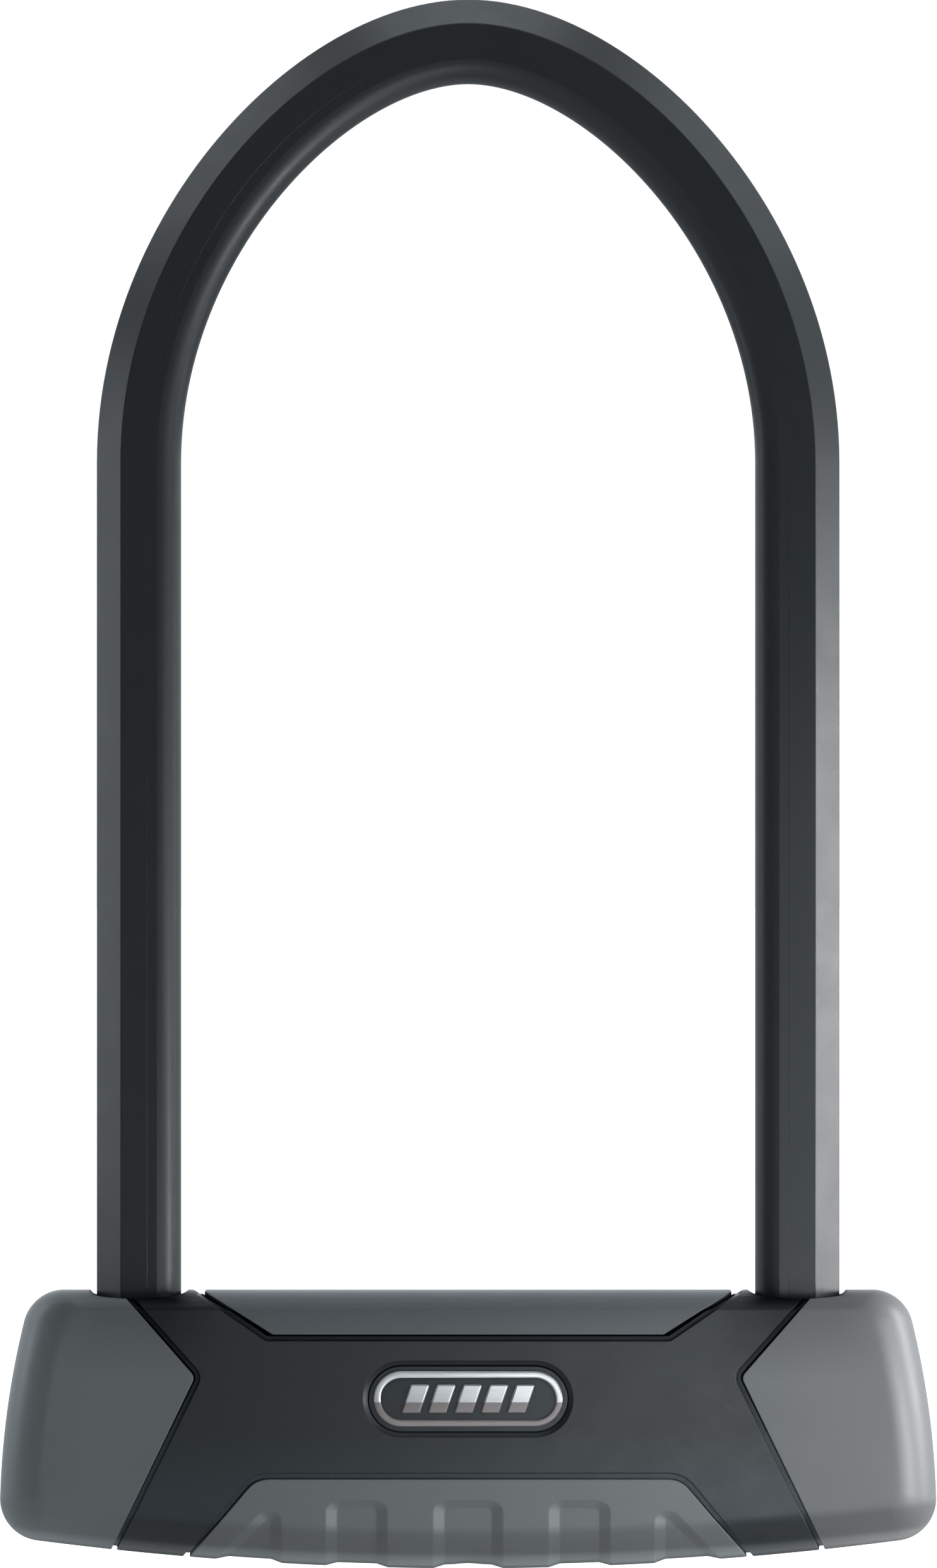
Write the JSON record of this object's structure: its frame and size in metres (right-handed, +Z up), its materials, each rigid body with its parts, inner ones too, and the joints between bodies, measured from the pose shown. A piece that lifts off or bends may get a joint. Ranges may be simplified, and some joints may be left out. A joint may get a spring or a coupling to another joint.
{
  "type": "u lock",
  "caption": "Bicycle U lock: parabolic coated square-bar shackle that slides into a crossbar body with a disc cylinder, cam and double bolts, grey panels and finger grooves.",
  "frame": {"origin": "bottom centre of the lock body, on the axis of the cylinder, at the lowest point of the underside", "axes": "+X across the body, -Y is the front face with the badge, +Z up the legs of the shackle"},
  "size_m": [0.1778, 0.035, 0.2981],
  "materials": {
    "sleeve_coating": "satin dark anthracite coating",
    "casing_dark": "satin dark anthracite",
    "panel_grey": "satin mid grey with a fine metallic fleck",
    "hardened_steel": "ground",
    "zinc_plated": "zinc plated",
    "brass": "turned",
    "badge_chrome": "polished",
    "badge_dark": "semi gloss",
    "seal_rubber": "matt"
  },
  "bodies": {
    "lock_body": {"body_tube": "hardened_steel", "end_plug_left": "hardened_steel", "end_plug_right": "hardened_steel", "end_plug_pin_left": "zinc_plated", "end_plug_pin_right": "zinc_plated", "bolt_guide_left": "zinc_plated", "bolt_guide_right": "zinc_plated", "foot_pad_left": "seal_rubber", "foot_pad_right": "seal_rubber", "leg_seal_left": "seal_rubber", "leg_seal_right": "seal_rubber", "cylinder_housing": "brass", "cylinder_clip": "zinc_plated", "rotor_clip": "zinc_plated", "casing_front": "casing_dark", "casing_rear": "casing_dark", "casing_screw_left": "zinc_plated", "casing_screw_right": "zinc_plated", "end_cap_left": "panel_grey", "end_cap_right": "panel_grey", "top_inlay": "panel_grey", "bottom_grip": "panel_grey", "badge_plate": "badge_dark", "badge_ring": "badge_chrome", "badge_emblem": "badge_chrome", "keyhole_escutcheon": "casing_dark", "shutter_pivot_pin": "zinc_plated"},
    "shackle": {"shackle_bar": "hardened_steel", "shackle_sleeve": "sleeve_coating"},
    "rotor_unit": {"rotor": "brass", "anti_drill_disc": "hardened_steel", "sidebar": "hardened_steel", "cam_disc": "hardened_steel", "lock_disc_1": "brass", "lock_disc_2": "brass", "lock_disc_3": "brass", "lock_disc_4": "brass", "lock_disc_5": "brass", "lock_disc_6": "brass", "lock_disc_7": "brass", "lock_disc_8": "brass"},
    "bolt_left_unit": {"bolt_left": "hardened_steel", "bolt_pin_left": "zinc_plated"},
    "bolt_right_unit": {"bolt_right": "hardened_steel", "bolt_pin_right": "zinc_plated"},
    "shutter": {"keyhole_shutter": "zinc_plated"}
  },
  "joints": [
    {"name": "shackle_slide", "type": "slide", "parent": "lock_body", "child": "shackle", "axis": [0, 0, 1], "range_m": [0, 0.045]},
    {"name": "rotor_turn", "type": "hinge", "parent": "lock_body", "child": "rotor_unit", "pos_m": [0, 0, 0.02], "axis": [0, 0, 1], "range_deg": [0, 90]},
    {"name": "bolt_left_slide", "type": "slide", "parent": "lock_body", "child": "bolt_left_unit", "axis": [-1, 0, 0], "range_m": [0, 0.0045]},
    {"name": "bolt_right_slide", "type": "slide", "parent": "lock_body", "child": "bolt_right_unit", "axis": [1, 0, 0], "range_m": [0, 0.0045]},
    {"name": "shutter_swing", "type": "hinge", "parent": "lock_body", "child": "shutter", "pos_m": [0.0105, 0, 0.0042], "axis": [0, 0, -1], "range_deg": [0, 45]}
  ],
  "couplings": [
    {"joint": "bolt_left_slide", "follows": "rotor_turn", "m_per_rad": 0.0028647},
    {"joint": "bolt_right_slide", "follows": "rotor_turn", "m_per_rad": 0.0028647}
  ]
}
